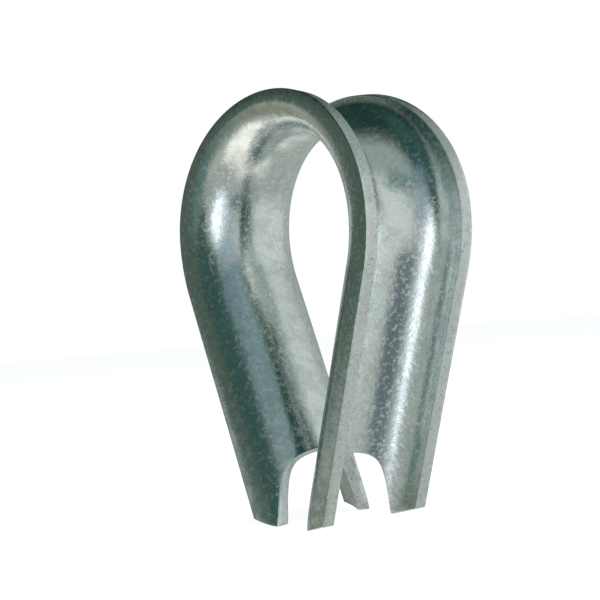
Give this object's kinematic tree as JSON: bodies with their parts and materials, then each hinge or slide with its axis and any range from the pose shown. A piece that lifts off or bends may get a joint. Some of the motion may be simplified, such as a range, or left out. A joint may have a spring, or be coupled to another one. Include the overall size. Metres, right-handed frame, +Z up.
{
  "type": "wire rope thimble",
  "caption": "Teardrop thimble of pressed zinc-plated steel with an outward groove that lines and protects the eye of a wire rope sling.",
  "frame": {"origin": "on the ground under the middle of the thimble, midway between its four leg tips, in the middle plane of the groove", "axes": "+Z up from the leg tips to the crown, X across the eye from leg to leg, Y along the axis of the eye and across the groove; -Y is the front"},
  "size_m": [0.06, 0.0252, 0.083],
  "materials": {
    "zinc_plated_steel": "bright zinc plate, slightly mottled and satin"
  },
  "bodies": {
    "root": {"thimble": "zinc_plated_steel"}
  },
  "joints": []
}
